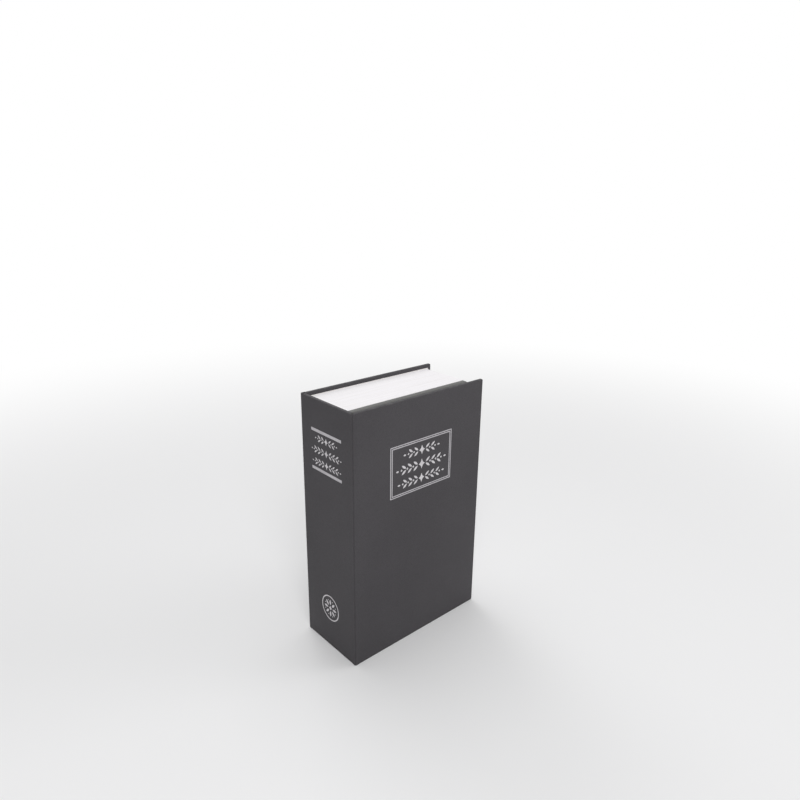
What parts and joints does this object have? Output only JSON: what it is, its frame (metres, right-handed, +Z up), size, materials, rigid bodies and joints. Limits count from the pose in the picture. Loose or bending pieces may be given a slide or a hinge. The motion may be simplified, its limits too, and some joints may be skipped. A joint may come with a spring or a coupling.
{
  "type": "book diversion safe",
  "caption": "Hard book case hiding a hinged-lid steel cash box with page-like edges and a dial combination cam lock.",
  "frame": {"origin": "centre of the closed book's footprint, on the surface that its tail edges stand on", "axes": "+Z up along the spine, from tail to head; spine at -X and fore-edge at +X; front cover at -Y and back cover at +Y"},
  "size_m": [0.115, 0.055, 0.18],
  "materials": {
    "leatherette": "matte",
    "greyboard": "matte",
    "grey_lining": "matte",
    "white_lining": "matte",
    "page_edges": "matte",
    "painted_steel": "satin",
    "hinge_steel": "satin",
    "bright_steel": "satin",
    "dark_steel": "satin",
    "cast_zinc": "satin",
    "lock_black": "satin",
    "dial_black": "satin",
    "pale_gold": "satin"
  },
  "bodies": {
    "case_back": {"back_cover_wrap": "leatherette", "back_cover_board": "greyboard", "back_cover_lining": "white_lining", "back_joint_cloth": "leatherette", "page_frame": "page_edges", "box_tray": "painted_steel", "strike_angle": "bright_steel", "box_hinge_leaf": "hinge_steel", "hinge_pin": "bright_steel"},
    "spine": {"spine_wrap": "leatherette", "spine_board": "greyboard", "spine_lining": "grey_lining", "front_joint_cloth": "leatherette"},
    "front_cover": {"front_cover_wrap": "leatherette", "front_cover_board": "greyboard", "front_cover_lining": "grey_lining"},
    "lid": {"lid_panel": "painted_steel", "lid_hinge_leaf": "hinge_steel", "lock_plate": "lock_black", "lock_border": "pale_gold", "lock_body": "cast_zinc", "dial_axle": "bright_steel", "blocking_bar": "bright_steel", "detent_spring": "bright_steel", "lock_back_plate": "bright_steel", "back_plate_screw_1": "bright_steel", "back_plate_screw_2": "bright_steel", "lock_fixing_screw_1": "bright_steel", "lock_fixing_screw_2": "bright_steel"},
    "dial_wheel_1": {"dial_1": "dial_black", "code_sleeve_1": "cast_zinc"},
    "dial_wheel_2": {"dial_2": "dial_black", "code_sleeve_2": "cast_zinc"},
    "dial_wheel_3": {"dial_3": "dial_black", "code_sleeve_3": "cast_zinc"},
    "knob": {"thumb_knob": "lock_black", "lock_spindle": "cast_zinc", "cam_tongue": "bright_steel", "cam_washer": "dark_steel", "cam_nut": "dark_steel"},
    "lever": {"reset_lever": "bright_steel"}
  },
  "joints": [
    {"name": "spine_hinge", "type": "hinge", "parent": "case_back", "child": "spine", "pos_m": [-0.056, 0.026, 0.09], "axis": [0, 0, -1], "range_deg": [0, 90], "deforming": ["back_joint_cloth"]},
    {"name": "cover_hinge", "type": "hinge", "parent": "spine", "child": "front_cover", "pos_m": [-0.056, -0.026, 0.09], "axis": [0, 0, -1], "range_deg": [0, 175], "deforming": ["front_joint_cloth"]},
    {"name": "lid_hinge", "type": "hinge", "parent": "case_back", "child": "lid", "pos_m": [-0.052, -0.0147, 0.09], "axis": [0, 0, -1], "range_deg": [0, 90]},
    {"name": "knob_turn", "type": "hinge", "parent": "lid", "child": "knob", "pos_m": [0.0321, -0.02, 0.088], "axis": [0, 1, 0], "range_deg": [0, 90]},
    {"name": "dial_1_turn", "type": "hinge", "parent": "lid", "child": "dial_wheel_1", "pos_m": [0.0321, -0.0134, 0.0622], "axis": [0, 0, 1], "continuous": true},
    {"name": "dial_2_turn", "type": "hinge", "parent": "lid", "child": "dial_wheel_2", "pos_m": [0.0321, -0.0134, 0.0675], "axis": [0, 0, 1], "continuous": true},
    {"name": "dial_3_turn", "type": "hinge", "parent": "lid", "child": "dial_wheel_3", "pos_m": [0.0321, -0.0134, 0.0728], "axis": [0, 0, 1], "continuous": true},
    {"name": "reset_lever_slide", "type": "slide", "parent": "lid", "child": "lever", "axis": [0, 0, 1], "range_m": [0, 0.002]}
  ],
  "couplings": [
    {"joint": "lid_hinge", "follows": "spine_hinge", "ratio": 1}
  ]
}
